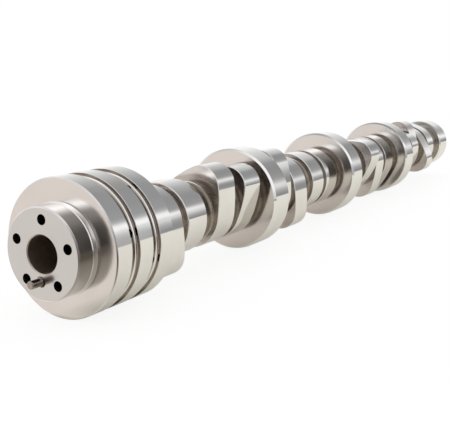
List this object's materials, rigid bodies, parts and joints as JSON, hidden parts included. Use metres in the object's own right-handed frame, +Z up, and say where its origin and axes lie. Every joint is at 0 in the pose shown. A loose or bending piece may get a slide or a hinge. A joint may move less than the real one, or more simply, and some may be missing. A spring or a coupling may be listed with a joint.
{
  "type": "camshaft",
  "caption": "Pushrod engine camshaft: a ground shaft with round bearing journals, egg-shaped cam lobes, and a stepped nose with oil grooves, a bolt bore and a timing dowel.",
  "frame": {"origin": "on the shaft's axis, in the plane of the front journal's front face", "axes": "the shaft lies along Y with its nose towards -Y and its rear end towards +Y; +Z is up and +X is to the right as seen from the front"},
  "size_m": [0.0588, 0.5217, 0.0588],
  "materials": {
    "ground_steel": "finely ground and polished steel, satin on the end faces",
    "dowel_steel": "hardened steel pin with a ground tip"
  },
  "bodies": {
    "root": {"camshaft": "ground_steel", "dowel_pin": "dowel_steel"}
  },
  "joints": []
}
